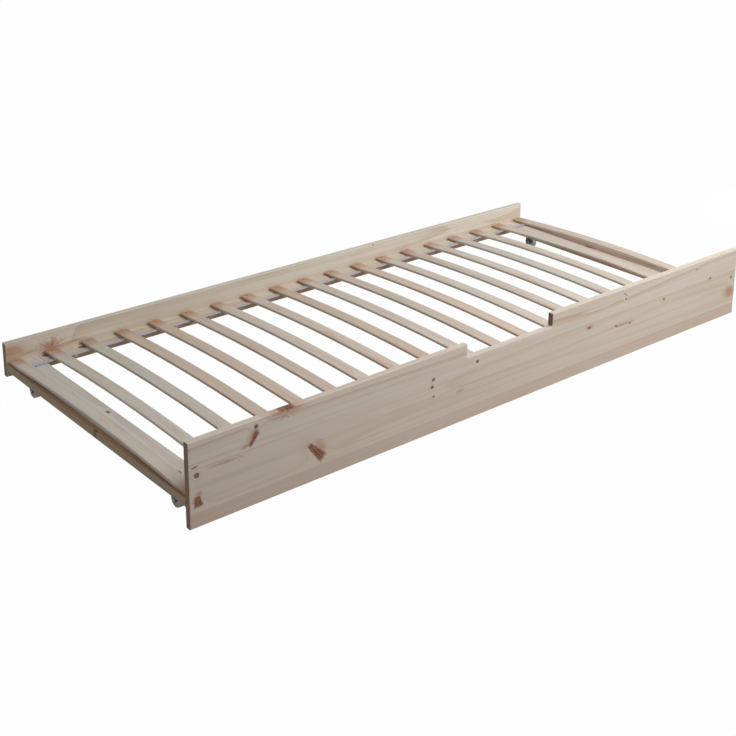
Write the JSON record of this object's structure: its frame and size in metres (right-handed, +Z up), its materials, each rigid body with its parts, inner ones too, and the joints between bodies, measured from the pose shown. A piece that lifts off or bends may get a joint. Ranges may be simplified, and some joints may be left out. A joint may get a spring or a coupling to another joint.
{
  "type": "trundle bed",
  "caption": "Low raw-pine trundle bed on four small fixed casters: notched front board, lower back board, bowed slats on ledgers, webbing straps beneath.",
  "frame": {"origin": "on the floor under the middle of the bed", "axes": "+X along the bed, front board faces -Y, +Z up"},
  "size_m": [2, 0.94, 0.216],
  "materials": {
    "pine_boards": "raw planed pine, glued staves",
    "pine_slats": "raw planed softwood",
    "strap_webbing": "woven polypropylene webbing",
    "staple_wire": "galvanised flat wire",
    "zinc_screws": "zinc plated",
    "beech_dowels": "turned beech",
    "fork_steel": "black coated pressed steel",
    "wheel_plastic": "moulded plastic",
    "rivet_steel": "headed steel rivet"
  },
  "bodies": {
    "root": {"front_board": "pine_boards", "back_board": "pine_boards", "end_board_left": "pine_boards", "end_board_right": "pine_boards", "ledger_front": "pine_boards", "ledger_back": "pine_boards", "slat_01": "pine_slats", "slat_02": "pine_slats", "slat_03": "pine_slats", "slat_04": "pine_slats", "slat_05": "pine_slats", "slat_06": "pine_slats", "slat_07": "pine_slats", "slat_08": "pine_slats", "slat_09": "pine_slats", "slat_10": "pine_slats", "slat_11": "pine_slats", "slat_12": "pine_slats", "slat_13": "pine_slats", "slat_14": "pine_slats", "slat_15": "pine_slats", "slat_16": "pine_slats", "slat_17": "pine_slats", "slat_18": "pine_slats", "slat_19": "pine_slats", "strap_front": "strap_webbing", "strap_back": "strap_webbing", "slat_staples_front": "staple_wire", "slat_staples_back": "staple_wire", "strap_staples_front": "staple_wire", "strap_staples_back": "staple_wire", "ledger_screws_front": "zinc_screws", "ledger_screws_back": "zinc_screws", "dowels": "beech_dowels", "caster_bracket_front_left": "fork_steel", "caster_bracket_front_right": "fork_steel", "caster_bracket_back_left": "fork_steel", "caster_bracket_back_right": "fork_steel", "caster_axle_front_left": "rivet_steel", "caster_axle_front_right": "rivet_steel", "caster_axle_back_left": "rivet_steel", "caster_axle_back_right": "rivet_steel", "caster_screws": "zinc_screws"},
    "wheel_front_left": {"caster_wheel_front_left": "wheel_plastic"},
    "wheel_front_right": {"caster_wheel_front_right": "wheel_plastic"},
    "wheel_back_left": {"caster_wheel_back_left": "wheel_plastic"},
    "wheel_back_right": {"caster_wheel_back_right": "wheel_plastic"}
  },
  "joints": [
    {"name": "roll_front_left", "type": "hinge", "parent": "root", "child": "wheel_front_left", "pos_m": [-0.9625, -0.361, 0.02], "axis": [1, 0, 0], "continuous": true},
    {"name": "roll_front_right", "type": "hinge", "parent": "root", "child": "wheel_front_right", "pos_m": [0.9625, -0.361, 0.02], "axis": [1, 0, 0], "continuous": true},
    {"name": "roll_back_left", "type": "hinge", "parent": "root", "child": "wheel_back_left", "pos_m": [-0.9625, 0.361, 0.02], "axis": [1, 0, 0], "continuous": true},
    {"name": "roll_back_right", "type": "hinge", "parent": "root", "child": "wheel_back_right", "pos_m": [0.9625, 0.361, 0.02], "axis": [1, 0, 0], "continuous": true}
  ]
}
